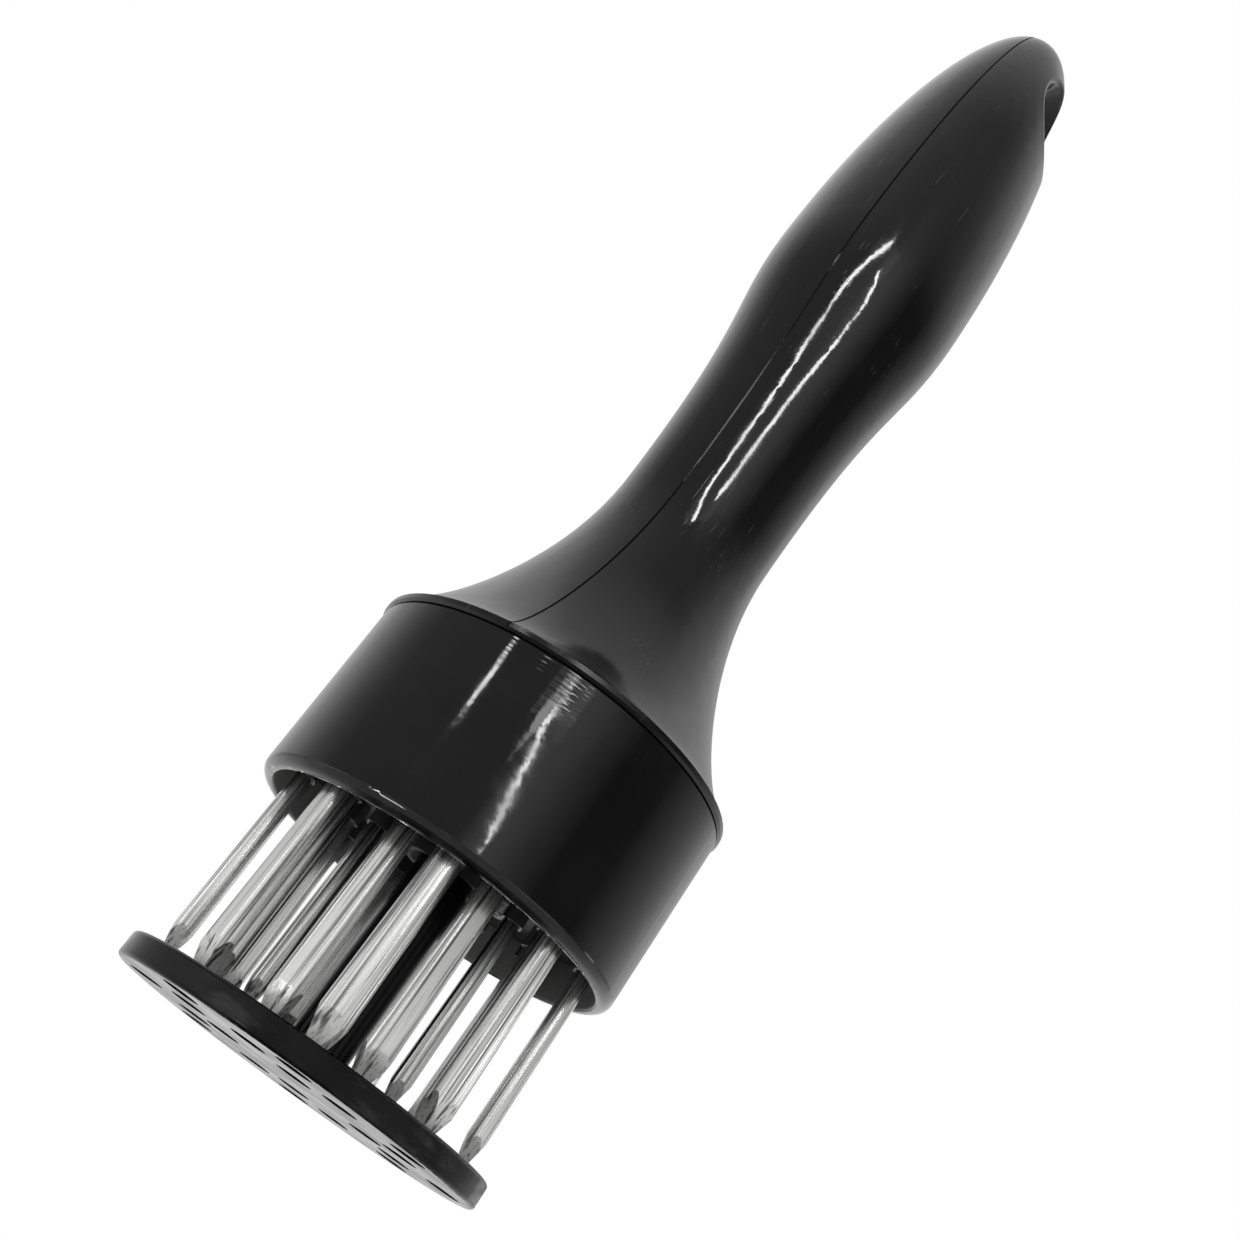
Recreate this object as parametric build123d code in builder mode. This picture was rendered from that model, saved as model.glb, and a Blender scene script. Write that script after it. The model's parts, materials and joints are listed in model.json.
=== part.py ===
"""Needle meat tenderizer: two-shell handle, needle head and a sprung guard plate on a guide post.

The axis is Z, the guard's underside rests on Z = 0, and the handle's seam lies in the YZ plane.
Sizes are in millimetres and angles in degrees.
"""
import os
from math import atan, cos, pi, radians, sin, sqrt, tan

from build123d import *

os.makedirs("parts", exist_ok=True)

# Guard plate and guide post
guard_inset = 0.7
guard_thickness = 3.4
guard_edge_round = 0.5
guard_hole_radius = 2.5
post_radius = 4.25
post_root_round = 1.0

# Needles
needle_width = 4.1
needle_thickness = 2.7
root_width = 3.6
root_thickness = 2.4
side_round_share = 0.45
bevel_length = 6.0
edge_width = 1.2
edge_thickness = 0.25
tip_engagement = 1.9
root_head_height = 1.5
root_head_growth = 0.45

# Needle rings, from the inner one outwards
inner_ring_radius = 10.8
middle_ring_step = 6.0
outer_ring_step = 5.7
inner_needle_count = 4
middle_needle_count = 8
outer_needle_count = 8
inner_start_angle = 22.5
middle_start_angle = 0.0
outer_start_angle = 22.5

# Sleeve, with its web, screw pillars and neck
exposed_length = 25.15
ring_to_sleeve = 3.0
sleeve_wall = 2.0
sleeve_height = 26.75
lip_round = 1.4
lip_inner_round = 0.4
groove_chamfer = 0.35
web_thickness = 3.0
pillar_radius = 3.2
neck_radius = 16.0
neck_wall = 2.5
bead_radius = 18.0
bead_thickness = 2.0

# Needle holder and backing plate
holder_recess = 6.0
socket_length = 3.0
socket_wall = 0.4
holder_thickness = 4.0
backing_thickness = 3.0
collar_wall = 2.0

# Screws
screw_radius = 1.45
screw_grip = 8.0
screw_head_radius = 2.7
screw_head_height = 1.7
screw_head_taper = 25.0
recess_length = 2.6
recess_width = 0.7
recess_depth = 0.9
holder_screw_count = 4
holder_screw_start_angle = 67.5

# Stop washer and return spring
washer_radius = 6.4
washer_thickness = 1.2
spring_mean_radius = 4.6
spring_wire_radius = 0.4
spring_length = 50.0
spring_turns = 12
spring_end_closing = 0.6

# Handle outline, with heights counted from the handle's base
handle_length = 156.7
base_overhang = 0.3
base_band_height = 1.0
flare_angle = 65.0
flare_reach = 4.5
waist_height = 39.4
waist_radius = 12.5
waist_reach_below = 19.0
waist_reach_above = 36.0
bulge_height = 92.3
bulge_radius = 16.3
bulge_reach = 16.5
end_fullness = 0.552
end_flat_radius = 1.0

# Handle shells
shell_wall = 2.6
floor_thickness = 3.5
seam_width = 0.3
seam_depth = 0.35
rib_thickness = 1.6
rib_spacing = 13.0
tunnel_radius = 7.2
seat_thickness = 3.0
peg_radius = 2.0
peg_length = 4.5
peg_boss_radius = 3.8
peg_drop = 8.0
lower_peg_height = 68.0
hang_hole_radius = 5.0
hang_hole_drop = 16.0
hang_hole_bore_length = 12.6
hang_hole_mouth_angle = 43.0
hang_hole_lip = 0.8

# Clearances
slide_clearance = 0.3
stop_clearance = 0.1
fit_clearance = 0.05
plate_clearance = 0.15
screw_clearance = 0.15
neck_clearance = 0.2
spring_end_gap = 0.05

# Levels along the axis, from the floor up
tip_level = guard_thickness - tip_engagement
shoulder_level = tip_level + bevel_length
mouth_level = guard_thickness + exposed_length
holder_bottom = mouth_level + holder_recess
socket_bottom = holder_bottom - socket_length
holder_top = holder_bottom + holder_thickness
backing_top = holder_top + backing_thickness
handle_base = mouth_level + sleeve_height
web_bottom = handle_base - web_thickness
floor_top = handle_base + floor_thickness
bead_bottom = floor_top + stop_clearance
bead_top = bead_bottom + bead_thickness
post_top = handle_base + stop_clearance
washer_top = post_top + washer_thickness
seat_level = washer_top + spring_length
handle_top = handle_base + handle_length
hang_hole_level = handle_top - hang_hole_drop
mouth_flare = (bulge_radius - hang_hole_bore_length / 2) * tan(radians(hang_hole_mouth_angle))
cavity_top = hang_hole_level - hang_hole_radius - mouth_flare - shell_wall
peg_levels = (handle_base + lower_peg_height, cavity_top - peg_drop)
guard_travel = exposed_length - slide_clearance

# Radii that follow from the rings
middle_ring_radius = inner_ring_radius + middle_ring_step
outer_ring_radius = middle_ring_radius + outer_ring_step
sleeve_bore = outer_ring_radius + ring_to_sleeve
sleeve_radius = sleeve_bore + sleeve_wall
base_radius = sleeve_radius + base_overhang
guard_radius = sleeve_radius - guard_inset
post_bore = post_radius + slide_clearance
rings = {
    "outer": (outer_ring_radius, outer_needle_count, outer_start_angle),
    "middle": (middle_ring_radius, middle_needle_count, middle_start_angle),
    "inner": (inner_ring_radius, inner_needle_count, inner_start_angle),
}


def finish(piece, name):
    """Labels a finished piece and writes it to its own file."""
    piece.part.label = name
    export_step(piece.part, f"parts/{name}.step")


def ring_locations(ring):
    """Places of the needles on one ring, each turned so that its X axis points outwards."""
    radius, count, start_angle = rings[ring]
    angles = [start_angle + 360 / count * index for index in range(count)]
    return [Location((radius * cos(radians(a)), radius * sin(radians(a)), 0), (0, 0, a)) for a in angles]


def all_needle_locations():
    """Places of all needles."""
    return [location for ring in rings for location in ring_locations(ring)]


def draw_needle_section(thickness, width, growth=0.0):
    """Rounded rectangle across a needle, with its thickness along the radius of its ring."""
    RectangleRounded(thickness + 2 * growth, width + 2 * growth, side_round_share * thickness + growth)


def handle_outline(inset):
    """Half outline of the handle, radius along X and height along Y, made smaller by the inset."""
    band_top = handle_base + base_band_height
    waist_level = handle_base + waist_height
    bulge_level = handle_base + bulge_height
    band = base_radius - inset
    waist = waist_radius - inset
    bulge = bulge_radius - inset
    end_level = handle_top - inset
    flare_out = flare_reach * sin(radians(flare_angle))
    flare_up = flare_reach * cos(radians(flare_angle))
    with BuildSketch() as outline:
        with BuildLine():
            Polyline((0, handle_base), (band, handle_base), (band, band_top))
            Bezier(
                (band, band_top),
                (band - flare_out, band_top + flare_up),
                (waist, waist_level - waist_reach_below),
                (waist, waist_level),
            )
            Bezier(
                (waist, waist_level),
                (waist, waist_level + waist_reach_above),
                (bulge, bulge_level - bulge_reach),
                (bulge, bulge_level),
            )
            Bezier(
                (bulge, bulge_level),
                (bulge, bulge_level + end_fullness * (end_level - bulge_level)),
                (end_flat_radius + end_fullness * (bulge - end_flat_radius), end_level),
                (end_flat_radius, end_level),
            )
            Polyline((end_flat_radius, end_level), (0, end_level), (0, handle_base))
        make_face()
    return outline.sketch


def cross_screw(shank_length):
    """Cross-recess screw with its head standing on the XY plane and its shank below."""
    with BuildPart() as screw:
        with BuildSketch():
            Circle(screw_head_radius)
        extrude(amount=screw_head_height, taper=screw_head_taper)
        with BuildSketch():
            Circle(screw_radius)
        extrude(amount=-shank_length)
        with BuildSketch(Plane.XY.offset(screw_head_height)):
            Rectangle(recess_length, recess_width)
            Rectangle(recess_width, recess_length)
        extrude(amount=-recess_depth, mode=Mode.SUBTRACT)
    return screw.part


def holder_screw_places():
    """Centres of the holder screws in plan, between the inner needles."""
    step = 360 / holder_screw_count
    angles = [radians(holder_screw_start_angle + step * index) for index in range(holder_screw_count)]
    return [(inner_ring_radius * cos(a), inner_ring_radius * sin(a)) for a in angles]


# Guard plate with its guide post
with BuildPart() as guard_plate:
    with BuildSketch():
        Circle(guard_radius)
    extrude(amount=guard_thickness)
    fillet(guard_plate.edges().filter_by(GeomType.CIRCLE), guard_edge_round)
    with BuildSketch():
        with Locations(*all_needle_locations()):
            Circle(guard_hole_radius)
    extrude(amount=guard_thickness, mode=Mode.SUBTRACT)
    with BuildSketch(Plane.XY.offset(guard_thickness)):
        Circle(post_radius)
    extrude(amount=post_top - guard_thickness)
    post_root = guard_plate.edges().filter_by(GeomType.CIRCLE).sort_by_distance((0, 0, guard_thickness))[0]
    fillet(post_root, post_root_round)
    with BuildSketch(Plane.XY.offset(post_top)):
        Circle(screw_radius + fit_clearance)
    extrude(amount=-screw_grip - screw_clearance, mode=Mode.SUBTRACT)
finish(guard_plate, "guard_plate")

# Stop washer on the post's top
with BuildPart() as stop_washer:
    with BuildSketch(Plane.XY.offset(post_top)):
        Circle(washer_radius)
        Circle(screw_radius + screw_clearance, mode=Mode.SUBTRACT)
    extrude(amount=washer_thickness)
finish(stop_washer, "stop_washer")

# Screw that holds the stop washer on the post
post_screw_form = cross_screw(washer_thickness + screw_grip)
with BuildPart() as post_screw:
    with Locations((0, 0, washer_top)):
        add(post_screw_form)
finish(post_screw, "post_screw")

# One needle at the origin: tapered blade, chisel point and a headed root
with BuildPart() as needle:
    with BuildSketch(Plane.XY.offset(shoulder_level)):
        draw_needle_section(needle_thickness, needle_width)
    with BuildSketch(Plane.XY.offset(mouth_level)):
        draw_needle_section(root_thickness, root_width)
    loft()
    with BuildSketch(Plane.XY.offset(mouth_level)):
        draw_needle_section(root_thickness, root_width)
    extrude(amount=holder_top - mouth_level)
    with BuildSketch(Plane.XY.offset(holder_top)):
        draw_needle_section(root_thickness, root_width, root_head_growth)
    extrude(amount=-root_head_height)
    with BuildSketch(Plane.XY.offset(shoulder_level)):
        draw_needle_section(needle_thickness, needle_width)
    extrude(amount=-bevel_length)
    face_slope = atan((needle_thickness - edge_thickness) / 2 / bevel_length)
    side_slope = atan((needle_width - edge_width) / 2 / bevel_length)
    for side in (1, -1):
        face_normal = (side * cos(face_slope), 0, -sin(face_slope))
        split(bisect_by=Plane((side * edge_thickness / 2, 0, tip_level), z_dir=face_normal), keep=Keep.BOTTOM)
        side_normal = (0, side * cos(side_slope), -sin(side_slope))
        split(bisect_by=Plane((0, side * edge_width / 2, tip_level), z_dir=side_normal), keep=Keep.BOTTOM)

for ring in rings:
    for number, location in enumerate(ring_locations(ring), start=1):
        with BuildPart() as placed_needle:
            with Locations(location):
                add(needle.part)
        finish(placed_needle, f"needle_{ring}_{number}")

# Needle holder: plate with a socket round each needle and a collar round the post
with BuildPart() as needle_holder:
    with BuildSketch(Plane.XY.offset(holder_bottom)):
        Circle(sleeve_bore - plate_clearance)
    extrude(amount=holder_thickness)
    with BuildSketch(Plane.XY.offset(socket_bottom)):
        with Locations(*all_needle_locations()):
            draw_needle_section(root_thickness, root_width, socket_wall)
        Circle(post_bore + collar_wall)
    extrude(amount=socket_length)
    with BuildSketch(Plane.XY.offset(socket_bottom)):
        with Locations(*all_needle_locations()):
            draw_needle_section(root_thickness, root_width, fit_clearance)
        Circle(post_bore)
        with Locations(*holder_screw_places()):
            Circle(screw_radius + screw_clearance)
    extrude(amount=holder_top - socket_bottom, mode=Mode.SUBTRACT)
    with BuildSketch(Plane.XY.offset(holder_top)):
        with Locations(*all_needle_locations()):
            draw_needle_section(root_thickness, root_width, root_head_growth + fit_clearance)
    extrude(amount=-root_head_height, mode=Mode.SUBTRACT)
    collar_rim = needle_holder.edges().filter_by(GeomType.CIRCLE).sort_by_distance((0, 0, socket_bottom))[0]
    chamfer(collar_rim, post_root_round)
finish(needle_holder, "needle_holder")

# Backing plate over the needle roots
with BuildPart() as backing_plate:
    with BuildSketch(Plane.XY.offset(holder_top)):
        Circle(sleeve_bore - plate_clearance)
        Circle(post_bore, mode=Mode.SUBTRACT)
        with Locations(*holder_screw_places()):
            Circle(screw_radius + screw_clearance, mode=Mode.SUBTRACT)
    extrude(amount=backing_thickness)
finish(backing_plate, "backing_plate")

# Screws that draw the holder and the backing plate up to the pillars
holder_screw_form = cross_screw(holder_thickness + backing_thickness + screw_grip)
with BuildPart() as holder_screws:
    with Locations(*[Location((x, y, holder_bottom), (180, 0, 0)) for x, y in holder_screw_places()]):
        add(holder_screw_form)
finish(holder_screws, "holder_screws")

# Head sleeve: wall, web, neck with its bead, and four screw pillars
with BuildPart() as head_sleeve:
    neck_bore = neck_radius - neck_wall
    with BuildSketch(Plane.XZ):
        with BuildLine():
            Polyline(
                (sleeve_bore, mouth_level),
                (sleeve_radius, mouth_level),
                (sleeve_radius, handle_base),
                (neck_radius, handle_base),
                (neck_radius, bead_bottom),
                (bead_radius, bead_bottom),
                (bead_radius, bead_top),
                (neck_bore, bead_top),
                (neck_bore, handle_base),
                (post_bore, handle_base),
                (post_bore, web_bottom),
                (sleeve_bore, web_bottom),
                close=True,
            )
        make_face()
    revolve(axis=Axis.Z)
    rims = head_sleeve.edges().filter_by(GeomType.CIRCLE)
    chamfer(rims.group_by(SortBy.RADIUS)[-1].sort_by(Axis.Z)[-1], groove_chamfer)
    mouth_rims = head_sleeve.edges().filter_by(GeomType.CIRCLE).group_by(Axis.Z)[0]
    fillet(mouth_rims.sort_by(SortBy.RADIUS)[-1], lip_round)
    mouth_rims = head_sleeve.edges().filter_by(GeomType.CIRCLE).group_by(Axis.Z)[0]
    fillet(mouth_rims.sort_by(SortBy.RADIUS)[0], lip_inner_round)
    with BuildSketch(Plane.XY.offset(backing_top)):
        with Locations(*holder_screw_places()):
            Circle(pillar_radius)
    extrude(amount=web_bottom - backing_top)
    with BuildSketch(Plane.XY.offset(backing_top)):
        with Locations(*holder_screw_places()):
            Circle(screw_radius + fit_clearance)
    extrude(amount=screw_grip + screw_clearance, mode=Mode.SUBTRACT)
finish(head_sleeve, "head_sleeve")

# Solid form of the handle, with the hang hole through its end
with BuildPart() as handle_form:
    with BuildSketch(Plane.YZ):
        add(handle_outline(0))
    revolve(axis=Axis.Z)
    with BuildSketch(Plane.YZ):
        with Locations((0, hang_hole_level)):
            Circle(hang_hole_radius)
    extrude(amount=bulge_radius, both=True, mode=Mode.SUBTRACT)
    for side in (1, -1):
        with BuildSketch(Plane.YZ.offset(side * hang_hole_bore_length / 2)):
            with Locations((0, hang_hole_level)):
                Circle(hang_hole_radius)
        extrude(amount=side * bulge_radius, taper=-hang_hole_mouth_angle, mode=Mode.SUBTRACT)
    mouths = handle_form.faces().filter_by(GeomType.CONE)
    fillet(mouths.edges().filter_by(GeomType.BSPLINE), hang_hole_lip)
    with BuildSketch(Plane.XY.offset(handle_base)):
        Circle(neck_radius + neck_clearance)
    extrude(amount=floor_thickness, mode=Mode.SUBTRACT)
    rims = handle_form.edges().filter_by(GeomType.CIRCLE)
    chamfer(rims.group_by(Axis.Z)[0].sort_by(SortBy.RADIUS)[-1], groove_chamfer)

# Hollow of the handle, less the ribs, the spring seat and the peg bosses
with BuildPart() as handle_hollow:
    with BuildSketch(Plane.YZ):
        add(handle_outline(shell_wall))
    revolve(axis=Axis.Z)
    split(bisect_by=Plane.XY.offset(floor_top), keep=Keep.TOP)
    split(bisect_by=Plane.XY.offset(cavity_top), keep=Keep.BOTTOM)
    rib_count = int((seat_level - bead_top) / rib_spacing)
    for index in range(1, rib_count + 1):
        with BuildSketch(Plane.XY.offset(seat_level - index * rib_spacing)):
            Circle(base_radius)
            Circle(tunnel_radius, mode=Mode.SUBTRACT)
        extrude(amount=rib_thickness, mode=Mode.SUBTRACT)
    with BuildSketch(Plane.XY.offset(seat_level)):
        Circle(base_radius)
    extrude(amount=seat_thickness, mode=Mode.SUBTRACT)
    with BuildSketch(Plane.YZ):
        with Locations(*[(0, level) for level in peg_levels]):
            Circle(peg_boss_radius)
    extrude(amount=base_radius, both=True, mode=Mode.SUBTRACT)

# Fine groove along the seam: a thin band round a slightly smaller outline
with BuildPart() as seam_groove:
    with BuildSketch(Plane.YZ):
        with Locations((0, handle_base)):
            Rectangle(3 * base_radius, 2 * handle_length, align=(Align.CENTER, Align.MIN))
        add(handle_outline(seam_depth), mode=Mode.SUBTRACT)
        mirror(handle_outline(seam_depth), about=Plane.YZ, mode=Mode.SUBTRACT)
    extrude(amount=seam_width / 2, both=True)

# Handle shells: the left one carries the pegs, the right one their sockets
with BuildPart() as handle_shell_left:
    add(handle_form.part)
    add(handle_hollow.part, mode=Mode.SUBTRACT)
    add(seam_groove.part, mode=Mode.SUBTRACT)
    split(bisect_by=Plane.YZ, keep=Keep.BOTTOM)
    with BuildSketch(Plane.YZ):
        with Locations(*[(0, level) for level in peg_levels]):
            Circle(peg_radius)
    extrude(amount=peg_length)
finish(handle_shell_left, "handle_shell_left")

with BuildPart() as handle_shell_right:
    add(handle_form.part)
    add(handle_hollow.part, mode=Mode.SUBTRACT)
    add(seam_groove.part, mode=Mode.SUBTRACT)
    split(bisect_by=Plane.YZ, keep=Keep.TOP)
    with BuildSketch(Plane.YZ):
        with Locations(*[(0, level) for level in peg_levels]):
            Circle(peg_radius + fit_clearance)
    extrude(amount=peg_length + stop_clearance, mode=Mode.SUBTRACT)
finish(handle_shell_right, "handle_shell_right")


def coil_point(turn):
    """Point on the spring's wire axis after a number of turns, and the wire's direction there."""
    bottom = washer_top + spring_wire_radius + spring_end_gap
    rise = spring_length - 2 * (spring_wire_radius + spring_end_gap)
    angle = 2 * pi * turn
    wave = angle / spring_turns
    level = bottom + rise * (wave - spring_end_closing * sin(wave)) / (2 * pi)
    climb = rise / spring_turns * (1 - spring_end_closing * cos(wave))
    around = 2 * pi * spring_mean_radius
    point = Vector(spring_mean_radius * cos(angle), spring_mean_radius * sin(angle), level)
    return point, Vector(-around * sin(angle), around * cos(angle), climb).normalized()


def biarc_middle(start, start_direction, end, end_direction):
    """Point where two arcs from the ends meet smoothly, and the wire's direction there."""
    chord = end - start
    both = start_direction + end_direction
    turn = 2 * (1 - start_direction.dot(end_direction))
    reach = (sqrt(chord.dot(both) ** 2 + turn * chord.dot(chord)) - chord.dot(both)) / turn
    first_corner = start + start_direction * reach
    last_corner = end - end_direction * reach
    return (first_corner + last_corner) * 0.5, (last_corner - first_corner).normalized()


# Return spring: one unbroken wire, each quarter turn made of two smooth arcs
with BuildPart() as return_spring:
    quarter_turns = 4 * spring_turns
    with BuildLine() as coil:
        for quarter in range(quarter_turns):
            start, start_direction = coil_point(quarter / 4)
            end, end_direction = coil_point((quarter + 1) / 4)
            middle, middle_direction = biarc_middle(start, start_direction, end, end_direction)
            TangentArc(start, middle, tangent=start_direction)
            TangentArc(middle, end, tangent=middle_direction)
    with BuildSketch(Plane(coil_point(0)[0], z_dir=coil_point(0)[1])):
        Circle(spring_wire_radius)
    sweep(path=coil.wires()[0])
finish(return_spring, "return_spring")

# Least gap between neighbouring turns, measured on points one turn apart
samples = [coil_point(index / 16)[0] for index in range(16 * spring_turns + 1)]
least_gap = min((samples[i + j] - samples[i]).length for i in range(len(samples) - 20) for j in range(12, 21))
print(f"spring: least gap to itself {least_gap - 2 * spring_wire_radius:.2f} mm")
print(f"guard travel {guard_travel:.2f} mm, total length {handle_top:.2f} mm")
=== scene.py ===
"""Needle meat tenderizer: camera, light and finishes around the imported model, in metres."""
import json
from math import cos, pi, radians, sin, tan

import bpy
from mathutils import Matrix, Vector


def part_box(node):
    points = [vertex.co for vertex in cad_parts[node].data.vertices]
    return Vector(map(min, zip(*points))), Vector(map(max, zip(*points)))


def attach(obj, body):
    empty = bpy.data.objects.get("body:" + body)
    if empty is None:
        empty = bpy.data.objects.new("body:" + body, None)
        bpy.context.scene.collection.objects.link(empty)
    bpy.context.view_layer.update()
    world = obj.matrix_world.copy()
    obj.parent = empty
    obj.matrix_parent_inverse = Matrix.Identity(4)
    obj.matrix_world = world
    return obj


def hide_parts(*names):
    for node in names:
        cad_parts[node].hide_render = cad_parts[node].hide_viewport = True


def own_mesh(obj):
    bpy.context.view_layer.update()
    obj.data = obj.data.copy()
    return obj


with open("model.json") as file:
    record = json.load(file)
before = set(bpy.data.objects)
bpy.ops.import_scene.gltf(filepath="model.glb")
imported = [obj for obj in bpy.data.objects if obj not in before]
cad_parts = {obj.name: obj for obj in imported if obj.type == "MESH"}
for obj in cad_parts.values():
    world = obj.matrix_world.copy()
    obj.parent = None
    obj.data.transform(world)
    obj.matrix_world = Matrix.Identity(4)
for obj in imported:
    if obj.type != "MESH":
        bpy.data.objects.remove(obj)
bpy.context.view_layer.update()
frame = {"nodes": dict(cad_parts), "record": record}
scene = bpy.context.scene
scene.view_settings.view_transform = "Standard"

# Camera, found from the photographed outline
view_azimuth = radians(24.75)
view_distance = 0.20005
view_height = -0.01005
view_pitch = radians(23.236)
view_yaw = radians(-0.303)
view_roll = radians(36.049)
image_pixels = 1240
focal_pixels = 1526.8
sensor_mm = 36.0
nearest_view = 0.005

# Lamps, each from one direction to another: azimuth from the camera's side and elevation, in degrees.
# Widths are in metres
lamp_distance = 0.7
lamp_target = Vector((0, 0, 0.09))
lamps = {
    "grip_left": {"start": (-25.0, 22.5), "end": (-11.0, 38.5), "width": 0.036, "radiance": 22.0},
    "grip_right": {"start": (6.3, 23.0), "end": (-1.5, 30.3), "width": 0.034, "radiance": 22.0},
    "grip_panel": {"start": (-10.0, 22.0), "end": (-8.0, 38.0), "width": 0.35, "radiance": 0.3},
    "sleeve_left": {"start": (-43.8, 17.0), "end": (-43.2, 13.0), "width": 0.03, "radiance": 18.0},
    "sleeve_right": {"start": (-5.2, 15.2), "end": (8.0, 8.5), "width": 0.012, "radiance": 24.0},
    "sleeve_core": {"start": (-5.0, 15.0), "end": (-7.5, 17.8), "width": 0.09, "radiance": 5.0},
    "sleeve_glow": {"start": (-3.0, 15.4), "end": (-3.0, 17.6), "width": 0.28, "radiance": 1.2},
    "needle_left": {"start": (-70.0, -1.0), "end": (-70.0, 4.0), "width": 0.12, "radiance": 2.5},
    "needle_middle": {"start": (-12.0, -1.0), "end": (-12.0, 4.0), "width": 0.08, "radiance": 1.4},
    "needle_right": {"start": (95.0, -1.0), "end": (95.0, 4.0), "width": 0.12, "radiance": 2.5},
    "lip_glint": {"start": (-62.0, -14.0), "end": (-37.0, -14.0), "width": 0.08, "radiance": 18.0},
    "back": {"start": (180.0, 10.0), "end": (180.0, 45.0), "width": 0.1, "radiance": 2.5},
}

# Brightness of the studio by azimuth from the camera's side, in degrees: on the ground, along the horizon,
# low on the walls and high up
ground_levels = {-180: 1.0, -140: 1.0, -110: 0.7, -60: 0.5, 60: 0.5, 110: 0.7, 140: 1.0, 180: 1.0}
horizon_levels = {
    -180: 0.8, -150: 0.9, -128: 0.55, -105: 0.55, -85: 0.9, -50: 0.9, -35: 0.7, -20: 0.48, 20: 0.4,
    35: 0.75, 55: 0.85, 72: 0.45, 88: 0.3, 100: 0.5, 125: 0.5, 145: 1.0, 180: 0.8,
}
low_levels = {
    -180: 0.5, -145: 0.88, -125: 0.8, -108: 0.5, -92: 0.31, -6: 0.3, 4: 0.85, 15: 0.75,
    28: 0.4, 45: 0.08, 74: 0.09, 92: 0.35, 112: 0.6, 138: 0.88, 165: 0.5, 180: 0.5,
}
high_levels = {
    -180: 0.7, -150: 1.0, -118: 1.0, -96: 0.7, -70: 0.53, 0: 0.32,
    40: 0.28, 66: 0.42, 88: 0.72, 110: 0.85, 130: 0.95, 160: 0.6, 180: 0.7,
}
zenith_level = 0.68
nadir_level = 0.1

# Spans in which one band of the studio turns into the next, as sines of the elevation
ground_to_horizon = (-0.05, 0.0)
horizon_to_low = (0.16, 0.21)
low_to_high = (0.45, 0.78)
high_to_zenith = (0.85, 1.0)
ground_to_nadir = (-0.7, -0.9)

# Floor, and the distances from the axis between which it fades
floor_reach = 1.0
floor_drop = 0.0004
floor_colour = (0.88, 0.88, 0.87, 1.0)
floor_fade = (0.1, 0.55)

# Finish colours
black = (0.0035, 0.0035, 0.0037, 1.0)
faded_black = (0.006, 0.006, 0.0062, 1.0)
scuffed_black = (0.05, 0.05, 0.051, 1.0)
satin_black = (0.03, 0.03, 0.0305, 1.0)
dusty_black = (0.06, 0.06, 0.06, 1.0)
# Grey for the inside of the sleeve: painted light, standing for light that falls into it
painted_light_grey = (0.26, 0.26, 0.26, 1.0)
bright_steel = (0.9, 0.9, 0.89, 1.0)
grey_steel = (0.5, 0.5, 0.5, 1.0)
dark_steel = (0.16, 0.16, 0.16, 1.0)
# Dark zinc of the screws; the needle roots are darkened to it as painted shade
dark_zinc_and_painted_shade = (0.12, 0.12, 0.122, 1.0)
worn_zinc = (0.34, 0.34, 0.335, 1.0)
gloss_ior = 1.5
dull_ior = 1.3

# Levels and radii on the object, read from the frame
point_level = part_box("needle_outer_1")[0].z
mouth_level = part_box("head_sleeve")[0].z
groove_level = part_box("handle_shell_left")[0].z
bore_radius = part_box("needle_holder")[1].x
guard_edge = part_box("guard_plate")[1].x

# Marks on the finishes, from the offset at which each fades in to the one at which it is full
groove_dulling = (0.009, 0.002)
mould_rings = (-0.008, -0.002)
lip_rubbing = (0.002, 0.0)
# Span for the inside of the sleeve: matt, and lightened to grey as painted light
matt_bore_painted_light = (0.0004, 0.0002)
rim_scuffing = (-0.0008, -0.0001)
# Span for the needle roots near the mouth, darkened as painted shade
root_painted_shade = (-0.001, 0.005)
point_dulling = (0.007, 0.002)

# Return spring
spring_low, spring_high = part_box("return_spring")
spring_turns = 12
spring_end_closing = 0.6
spring_wire_radius = 0.0004
steps_per_turn = 32
wire_sides = 12


def horizontal(azimuth):
    """Unit vector level with the floor, turned by an azimuth away from the camera's side."""
    angle = view_azimuth + azimuth
    return Vector((sin(angle), -cos(angle), 0))


def make_camera():
    """Camera below the head, looking up along the handle and rolled to lay it across the frame."""
    turn = Matrix.Rotation(view_azimuth, 3, "Z")
    ahead = Vector((sin(view_yaw) * cos(view_pitch), cos(view_yaw) * cos(view_pitch), sin(view_pitch)))
    forward = turn @ ahead
    level = forward.cross(Vector((0, 0, 1))).normalized()
    upward = level.cross(forward)
    screen_right = cos(view_roll) * level + sin(view_roll) * upward
    screen_up = cos(view_roll) * upward - sin(view_roll) * level
    data = bpy.data.cameras.new("camera")
    data.sensor_width = sensor_mm
    data.lens = sensor_mm * focal_pixels / image_pixels
    data.clip_start = nearest_view
    camera = bpy.data.objects.new("camera", data)
    scene.collection.objects.link(camera)
    pose = Matrix((screen_right, screen_up, -forward)).transposed().to_4x4()
    pose.translation = horizontal(0) * view_distance + Vector((0, 0, view_height))
    camera.matrix_world = pose
    scene.camera = camera


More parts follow.
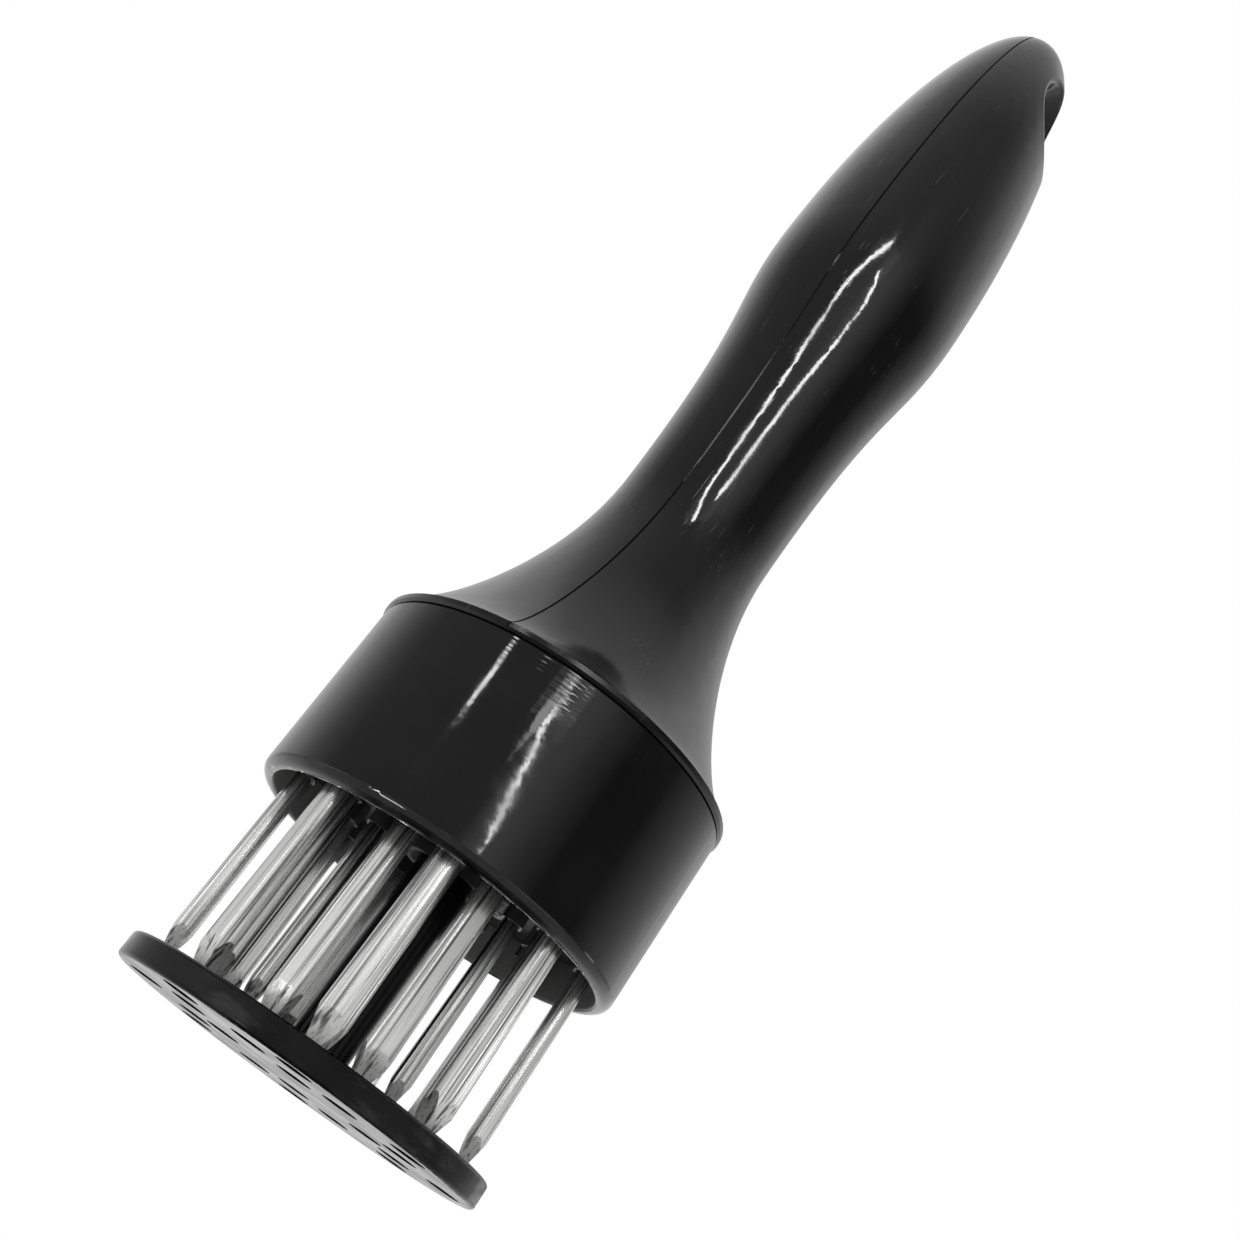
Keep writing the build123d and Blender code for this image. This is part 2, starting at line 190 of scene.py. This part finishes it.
def make_lamp(name, start, end, width, radiance):
    """Flat lamp between two directions, facing the waist of the handle."""
    ends = []
    for azimuth, elevation in (start, end):
        level = horizontal(radians(azimuth)) * lamp_distance
        ends.append(level + Vector((0, 0, lamp_target.z + lamp_distance * tan(radians(elevation)))))
    along = ends[1] - ends[0]
    middle = (ends[0] + ends[1]) / 2
    data = bpy.data.lights.new(name, "AREA")
    data.shape = "RECTANGLE"
    data.size = width
    data.size_y = along.length
    data.energy = radiance * pi * data.size * data.size_y
    lamp = bpy.data.objects.new(name, data)
    scene.collection.objects.link(lamp)
    back = (middle - lamp_target).normalized()
    side = along.cross(back).normalized()
    pose = Matrix((side, back.cross(side), back)).transposed().to_4x4()
    pose.translation = middle
    lamp.matrix_world = pose
    lamp.visible_camera = False


def connect(tree, value, socket):
    """Links a socket to an input, or sets the input to a plain value."""
    if isinstance(value, bpy.types.NodeSocket):
        tree.links.new(value, socket)
    else:
        socket.default_value = value


def add_node(tree, kind, settings=None, **inputs):
    """Adds a node, sets its properties and fills its inputs."""
    node = tree.nodes.new(kind)
    for key, value in (settings or {}).items():
        setattr(node, key, value)
    for key, value in inputs.items():
        connect(tree, value, node.inputs[key.replace("_", " ")])
    return node


def calculate(tree, operation, *values):
    """One sum on values that may be numbers or sockets."""
    node = tree.nodes.new("ShaderNodeMath")
    node.operation = operation
    for socket, value in zip(node.inputs, values):
        connect(tree, value, socket)
    return node.outputs[0]


def rescale(tree, value, low, high, new_low=0.0, new_high=1.0):
    """Smoothly takes a value from one span to another, and holds it at the ends."""
    settings = {"interpolation_type": "SMOOTHSTEP"}
    node = add_node(tree, "ShaderNodeMapRange", settings, Value=value, From_Min=low, From_Max=high)
    node.inputs["To Min"].default_value = new_low
    node.inputs["To Max"].default_value = new_high
    return node.outputs[0]


def near(tree, value, edge, offsets, strength=1.0):
    """Mask that fades in between two offsets from an edge."""
    faint, full = offsets
    return rescale(tree, value, edge + faint, edge + full, new_high=strength)


def weaken(tree, mask, share):
    """Mask brought down to a share of itself."""
    return calculate(tree, "MULTIPLY", mask, share)


def roughen(tree, roughness, where, by):
    """Roughness raised by an amount where a mask is set."""
    return calculate(tree, "MULTIPLY_ADD", where, by, roughness)


def mix_colours(tree, share, first, second):
    """Colour between two colours."""
    node = add_node(tree, "ShaderNodeMix", {"data_type": "RGBA"}, Factor=share)
    connect(tree, first, node.inputs["A"])
    connect(tree, second, node.inputs["B"])
    return node.outputs["Result"]


def mix_shaders(tree, share, first, second):
    """Shader between two shaders."""
    node = tree.nodes.new("ShaderNodeMixShader")
    for socket, value in zip(node.inputs, (share, first, second)):
        connect(tree, value, socket)
    return node.outputs[0]


def direction_part(tree, direction, axis):
    """How far a direction points along an axis."""
    node = tree.nodes.new("ShaderNodeVectorMath")
    node.operation = "DOT_PRODUCT"
    tree.links.new(direction, node.inputs[0])
    node.inputs[1].default_value = axis
    return node.outputs["Value"]


def grey(level):
    """Plain grey of a given brightness."""
    return (level, level, level, 1.0)


def ring_of_levels(tree, share, levels):
    """Brightness all round, from azimuths and their levels."""
    ramp = add_node(tree, "ShaderNodeValToRGB", Fac=share)
    stops = ramp.color_ramp.elements
    while len(stops) < len(levels):
        stops.new(0.5)
    for stop, (degrees, level) in zip(stops, levels.items()):
        stop.position = degrees / 360 + 0.5
        stop.color = grey(level)
    return ramp.outputs["Color"]


def make_world():
    """White to the camera, and to everything else a studio with pale walls behind the object."""
    world = bpy.data.worlds.new("studio")
    scene.world = world
    world.use_nodes = True
    tree = world.node_tree
    tree.nodes.clear()
    direction = add_node(tree, "ShaderNodeTexCoord").outputs["Generated"]
    front = direction_part(tree, direction, horizontal(0))
    right = direction_part(tree, direction, horizontal(radians(90)))
    height = direction_part(tree, direction, (0, 0, 1))
    azimuth = calculate(tree, "ARCTAN2", right, front)
    share = calculate(tree, "MULTIPLY_ADD", azimuth, 1 / radians(360), 0.5)
    bands = {
        ground_to_horizon: ring_of_levels(tree, share, horizon_levels),
        horizon_to_low: ring_of_levels(tree, share, low_levels),
        low_to_high: ring_of_levels(tree, share, high_levels),
        high_to_zenith: grey(zenith_level),
        ground_to_nadir: grey(nadir_level),
    }
    colour = ring_of_levels(tree, share, ground_levels)
    for span, band in bands.items():
        colour = mix_colours(tree, rescale(tree, height, *span), colour, band)
    studio = add_node(tree, "ShaderNodeBackground", Color=colour, Strength=1.0)
    white = add_node(tree, "ShaderNodeBackground", Color=grey(1.0), Strength=1.0)
    ray = add_node(tree, "ShaderNodeLightPath").outputs
    seen = calculate(tree, "MAXIMUM", ray["Is Camera Ray"], ray["Is Transmission Ray"])
    output = tree.nodes.new("ShaderNodeOutputWorld")
    tree.links.new(mix_shaders(tree, seen, studio.outputs[0], white.outputs[0]), output.inputs["Surface"])


def new_material(name):
    """Empty material, with its node tree and the output that it ends in."""
    material = bpy.data.materials.new(name)
    material.use_nodes = True
    tree = material.node_tree
    tree.nodes.clear()
    return material, tree, tree.nodes.new("ShaderNodeOutputMaterial")


def place(tree):
    """Place on the object, in the shared frame."""
    return add_node(tree, "ShaderNodeTexCoord").outputs["Object"]


def height_of(tree, spot):
    """Height of a place above the object's foot."""
    return add_node(tree, "ShaderNodeSeparateXYZ", Vector=spot).outputs["Z"]


def radius_of(tree, spot):
    """Distance of a place from the object's axis."""
    parts = add_node(tree, "ShaderNodeSeparateXYZ", Vector=spot).outputs
    squares = [calculate(tree, "MULTIPLY", parts[axis], parts[axis]) for axis in ("X", "Y")]
    return calculate(tree, "SQRT", calculate(tree, "ADD", *squares))


def make_floor():
    """Pale floor that holds the object's shadow and fades into the white around it.

    It is clear from below and left out of reflections.
    """
    square = ((-1, -1), (1, -1), (1, 1), (-1, 1))
    corners = [(x * floor_reach, y * floor_reach, -floor_drop) for x, y in square]
    mesh = bpy.data.meshes.new("floor")
    mesh.from_pydata(corners, [], [(0, 1, 2, 3)])
    floor = bpy.data.objects.new("floor", mesh)
    scene.collection.objects.link(floor)
    material, tree, output = new_material("floor")
    matt = add_node(tree, "ShaderNodeBsdfDiffuse", Color=floor_colour).outputs[0]
    clear = add_node(tree, "ShaderNodeBsdfTransparent").outputs[0]
    below = add_node(tree, "ShaderNodeNewGeometry").outputs["Backfacing"]
    radius = radius_of(tree, place(tree))
    faded = calculate(tree, "MAXIMUM", below, rescale(tree, radius, *floor_fade))
    tree.links.new(mix_shaders(tree, faded, matt, clear), output.inputs["Surface"])
    mesh.materials.append(material)
    floor.visible_glossy = False


def noise(tree, spot, across, along, detail=2.0):
    """Soft random value with grains of a given size across the axis and along it."""
    node = add_node(tree, "ShaderNodeVectorMath", {"operation": "MULTIPLY"})
    tree.links.new(spot, node.inputs[0])
    node.inputs[1].default_value = (1 / across, 1 / across, 1 / along)
    grains = add_node(tree, "ShaderNodeTexNoise", Vector=node.outputs[0], Scale=1.0, Detail=detail)
    return grains.outputs["Fac"]


def bump(tree, relief, depth, under=None):
    """Surface relief of a given depth, over another relief where one is given."""
    node = add_node(tree, "ShaderNodeBump", Height=relief, Distance=depth, Strength=1.0)
    if under is not None:
        tree.links.new(under, node.inputs["Normal"])
    return node.outputs[0]


def principled(tree, output, colour, roughness, normal, metallic=0.0, ior=gloss_ior):
    """Main shader, joined to the output."""
    shader = add_node(tree, "ShaderNodeBsdfPrincipled", Roughness=roughness, Normal=normal)
    shader.inputs["Metallic"].default_value = metallic
    shader.inputs["IOR"].default_value = ior
    connect(tree, colour, shader.inputs["Base Color"])
    tree.links.new(shader.outputs[0], output.inputs["Surface"])


def hairlines(tree, spot, across, along):
    """Thin broken scratches, mostly along the axis."""
    lines = noise(tree, spot, across, along, detail=1.0)
    places = noise(tree, spot, across=0.006, along=0.014)
    thin = rescale(tree, lines, low=0.66, high=0.72)
    broken = rescale(tree, places, low=0.5, high=0.62)
    return calculate(tree, "MULTIPLY", thin, broken)


def clouded_black(tree, clouds):
    """Black plastic, a little faded in clouds."""
    return mix_colours(tree, rescale(tree, clouds, low=0.35, high=0.7), black, faded_black)


def polish(tree, smudges):
    """Roughness of polished plastic, a little higher on smudges."""
    return rescale(tree, smudges, low=0.35, high=0.75, new_low=0.05, new_high=0.1)


def handle_plastic():
    """Polished black moulding, a little wavy, with faint handling marks and less polish near the groove."""
    material, tree, output = new_material("handle_plastic")
    spot = place(tree)
    clouds = noise(tree, spot, across=0.011, along=0.03, detail=3.0)
    smudges = noise(tree, spot, across=0.004, along=0.009, detail=4.0)
    scratches = hairlines(tree, spot, across=0.00035, along=0.012)
    colour = clouded_black(tree, clouds)
    colour = mix_colours(tree, weaken(tree, scratches, share=0.5), colour, scuffed_black)
    gloss = polish(tree, smudges)
    roughness = roughen(tree, gloss, where=scratches, by=0.12)
    near_groove = near(tree, height_of(tree, spot), groove_level, groove_dulling)
    roughness = roughen(tree, roughness, where=near_groove, by=0.1)
    waves = bump(tree, noise(tree, spot, across=0.006, along=0.02), depth=0.00005)
    peel = bump(tree, noise(tree, spot, across=0.0009, along=0.0011), depth=0.000006, under=waves)
    principled(tree, output, colour, roughness, peel)
    return material


def sleeve_plastic():
    """Polished black moulding with fine mould rings near its top, a rubbed lip and a matt inside lightened
    to grey as painted light.
    """
    material, tree, output = new_material("sleeve_plastic")
    spot = place(tree)
    height = height_of(tree, spot)
    clouds = noise(tree, spot, across=0.012, along=0.012, detail=3.0)
    smudges = noise(tree, spot, across=0.005, along=0.005, detail=4.0)
    rings = noise(tree, spot, across=0.09, along=0.0003)
    near_top = near(tree, height, groove_level, mould_rings)
    near_lip = near(tree, height, mouth_level, lip_rubbing)
    rubbed = calculate(tree, "MULTIPLY", near_lip, rescale(tree, smudges, low=0.45, high=0.6))
    # Inside of the sleeve: matt for real, and lightened to grey as painted light
    inside_matt_painted_light = near(tree, radius_of(tree, spot), bore_radius, matt_bore_painted_light)
    colour = clouded_black(tree, clouds)
    colour = mix_colours(tree, weaken(tree, rubbed, share=0.4), colour, scuffed_black)
    # Painted light: the inside turned grey
    colour = mix_colours(tree, inside_matt_painted_light, colour, painted_light_grey)
    gloss = polish(tree, smudges)
    roughness = roughen(tree, gloss, where=rubbed, by=0.15)
    roughness = roughen(tree, roughness, where=inside_matt_painted_light, by=0.4)
    waves = bump(tree, noise(tree, spot, across=0.007, along=0.009), depth=0.00004)
    turned = bump(tree, calculate(tree, "MULTIPLY", rings, near_top), depth=0.00002, under=waves)
    peel = bump(tree, noise(tree, spot, across=0.001, along=0.001), depth=0.000005, under=turned)
    principled(tree, output, colour, roughness, peel)
    return material


def guard_plastic():
    """Duller black moulding with a scuffed rim."""
    material, tree, output = new_material("guard_plastic")
    spot = place(tree)
    clouds = noise(tree, spot, across=0.008, along=0.008, detail=3.0)
    specks = noise(tree, spot, across=0.008, along=0.0025, detail=5.0)
    rim = near(tree, radius_of(tree, spot), guard_edge, rim_scuffing)
    scuffs = calculate(tree, "MULTIPLY", rim, rescale(tree, specks, low=0.55, high=0.75, new_high=0.8))
    colour = clouded_black(tree, clouds)
    colour = mix_colours(tree, scuffs, colour, scuffed_black)
    gloss = rescale(tree, clouds, low=0.3, high=0.7, new_low=0.16, new_high=0.28)
    roughness = roughen(tree, gloss, where=scuffs, by=0.25)
    waves = bump(tree, noise(tree, spot, across=0.006, along=0.006), depth=0.00003)
    grain = bump(tree, noise(tree, spot, across=0.0006, along=0.0006), depth=0.000008, under=waves)
    principled(tree, output, colour, roughness, grain, ior=dull_ior)
    return material


def holder_plastic(name):
    """Satin black moulding with a fine grain and some dust."""
    material, tree, output = new_material(name)
    spot = place(tree)
    dust = noise(tree, spot, across=0.003, along=0.003, detail=5.0)
    colour = mix_colours(tree, rescale(tree, dust, low=0.4, high=0.7), satin_black, dusty_black)
    roughness = rescale(tree, dust, low=0.3, high=0.7, new_low=0.32, new_high=0.5)
    grain = bump(tree, noise(tree, spot, across=0.0004, along=0.0004, detail=3.0), depth=0.00001)
    principled(tree, output, colour, roughness, grain)
    return material


def needle_steel():
    """Steel strip with drawing lines along it, a few stains, painted shade darkening its root near the
    mouth, and a dull point.
    """
    material, tree, output = new_material("needle_steel")
    spot = place(tree)
    height = height_of(tree, spot)
    streaks = noise(tree, spot, across=0.0007, along=0.09)
    fine = noise(tree, spot, across=0.0002, along=0.03)
    stains = noise(tree, spot, across=0.002, along=0.006, detail=3.0)
    # Roots near the mouth darkened as painted shade
    painted_root_shade = near(tree, height, mouth_level, root_painted_shade, strength=0.8)
    colour = mix_colours(tree, rescale(tree, streaks, low=0.33, high=0.5), dark_steel, bright_steel)
    colour = mix_colours(tree, rescale(tree, stains, low=0.6, high=0.75, new_high=0.35), colour, grey_steel)
    colour = mix_colours(tree, rescale(tree, fine, low=0.4, high=0.33, new_high=0.7), colour, dark_steel)
    colour = mix_colours(tree, painted_root_shade, colour, dark_zinc_and_painted_shade)
    gloss = rescale(tree, fine, low=0.3, high=0.7, new_low=0.18, new_high=0.32)
    dulled = near(tree, height, point_level, point_dulling)
    roughness = roughen(tree, gloss, where=dulled, by=0.3)
    brushed = bump(tree, streaks, depth=0.00005)
    lines = bump(tree, fine, depth=0.000003, under=brushed)
    principled(tree, output, colour, roughness, lines, metallic=1.0)
    return material


def screw_steel():
    """Dark zinc on steel, rubbed brighter in spots."""
    material, tree, output = new_material("screw_steel")
    spot = place(tree)
    wear = noise(tree, spot, across=0.0008, along=0.0008, detail=4.0)
    colour = mix_colours(tree, rescale(tree, wear, low=0.42, high=0.66), dark_zinc_and_painted_shade, worn_zinc)
    roughness = rescale(tree, wear, low=0.3, high=0.7, new_low=0.28, new_high=0.45)
    grain = bump(tree, noise(tree, spot, across=0.0003, along=0.0003, detail=3.0), depth=0.00001)
    principled(tree, output, colour, roughness, grain, metallic=1.0)
    return material


def drawn_steel(name, across, along):
    """Plain steel with drawing or rolling lines of a given size."""
    material, tree, output = new_material(name)
    spot = place(tree)
    lines = noise(tree, spot, across, along, detail=3.0)
    stains = noise(tree, spot, across=0.003, along=0.003, detail=3.0)
    colour = mix_colours(tree, rescale(tree, lines, low=0.3, high=0.7), grey_steel, bright_steel)
    colour = mix_colours(tree, rescale(tree, stains, low=0.55, high=0.75, new_high=0.4), colour, worn_zinc)
    roughness = rescale(tree, lines, low=0.3, high=0.7, new_low=0.2, new_high=0.38)
    relief = bump(tree, lines, depth=0.00001)
    principled(tree, output, colour, roughness, relief, metallic=1.0)
    return material


def dress(finishes):
    """Gives each node the finish of its material slot in the record."""
    for subpart in frame["record"]["subparts"]:
        mesh = frame["nodes"][subpart["node"]].data
        mesh.materials.clear()
        mesh.materials.append(finishes[subpart["material_slot"]])


def coil_point(turn):
    """Point in the middle of the spring's wire after some turns, which lie closer at both ends."""
    angle = 2 * pi * turn
    wave = angle / spring_turns
    mean_radius = spring_high.x - spring_wire_radius
    rise = spring_high.z - spring_low.z - 2 * spring_wire_radius
    share = (wave - spring_end_closing * sin(wave)) / (2 * pi)
    level = spring_low.z + spring_wire_radius + rise * share
    return Vector((mean_radius * cos(angle), mean_radius * sin(angle), level))


def make_spring(finish):
    """Return spring, a wire coil between its seats, fixed to the handle."""
    rings = spring_turns * steps_per_turn
    corners = []
    for step in range(rings + 1):
        middle = coil_point(step / steps_per_turn)
        outward = Vector((middle.x, middle.y, 0)).normalized()
        for side in range(wire_sides):
            angle = 2 * pi * side / wire_sides
            spoke = cos(angle) * outward + Vector((0, 0, sin(angle)))
            corners.append(middle + spring_wire_radius * spoke)
    first_end = range(wire_sides)
    last_end = range(rings * wire_sides, (rings + 1) * wire_sides)
    faces = [tuple(first_end), tuple(reversed(last_end))]
    for start in range(0, rings * wire_sides, wire_sides):
        for side in range(wire_sides):
            here = start + side
            beside = start + (side + 1) % wire_sides
            faces.append((beside, here, here + wire_sides, beside + wire_sides))
    mesh = bpy.data.meshes.new("coil_spring")
    mesh.from_pydata(corners, [], faces)
    mesh.shade_smooth()
    mesh.materials.append(finish)
    spring = bpy.data.objects.new("coil_spring", mesh)
    scene.collection.objects.link(spring)
    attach(spring, "handle")
    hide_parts("return_spring")
    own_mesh(spring)


make_camera()
for lamp_name, lamp_shape in lamps.items():
    make_lamp(lamp_name, **lamp_shape)
make_world()
make_floor()
slot_finishes = {
    "handle_plastic": handle_plastic(),
    "sleeve_plastic": sleeve_plastic(),
    "guard_plastic": guard_plastic(),
    "holder_plastic": holder_plastic("holder_plastic"),
    "backing_plastic": holder_plastic("backing_plastic"),
    "needle_steel": needle_steel(),
    "screw_steel": screw_steel(),
    "washer_steel": drawn_steel("washer_steel", across=0.002, along=0.0002),
    "spring_steel": drawn_steel("spring_steel", across=0.0004, along=0.0015),
}
dress(slot_finishes)
make_spring(slot_finishes["spring_steel"])
